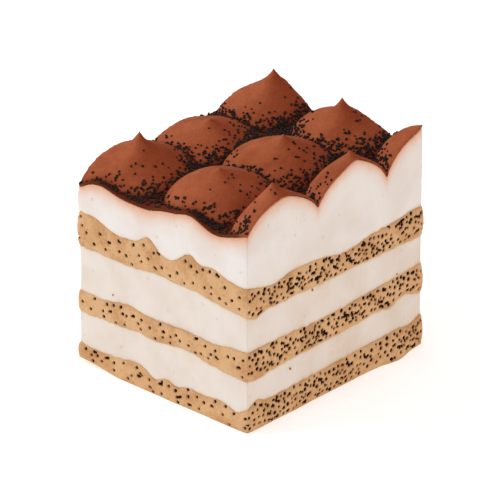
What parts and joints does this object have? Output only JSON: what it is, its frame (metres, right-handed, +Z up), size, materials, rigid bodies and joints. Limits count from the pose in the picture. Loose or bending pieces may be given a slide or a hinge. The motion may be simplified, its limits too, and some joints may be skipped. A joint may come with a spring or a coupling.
{
  "type": "tiramisu portion",
  "caption": "Square-cut portion of tiramisu: layers of soaked sponge and mascarpone cream, topped with piped pointed dollops under a dusting of cocoa.",
  "frame": {"origin": "middle of the underside of the whole portion, on the surface it stands on", "axes": "+Z up; +X along the wide cut face that shows the scalloped dollops, which looks along -Y; +Y from that face to the back"},
  "size_m": [0.0733, 0.0646, 0.0702],
  "materials": {
    "sponge": "soft soaked sponge crumb, matt and porous",
    "cream": "smooth whipped mascarpone cream, soft satin",
    "cocoa": "dry sifted cocoa powder, fully matt"
  },
  "bodies": {
    "root": {"sponge_bottom": "sponge", "cream_lower": "cream", "sponge_middle": "sponge", "cream_middle": "cream", "sponge_top": "sponge", "cream_piped": "cream", "cocoa_dusting": "cocoa"}
  },
  "joints": []
}
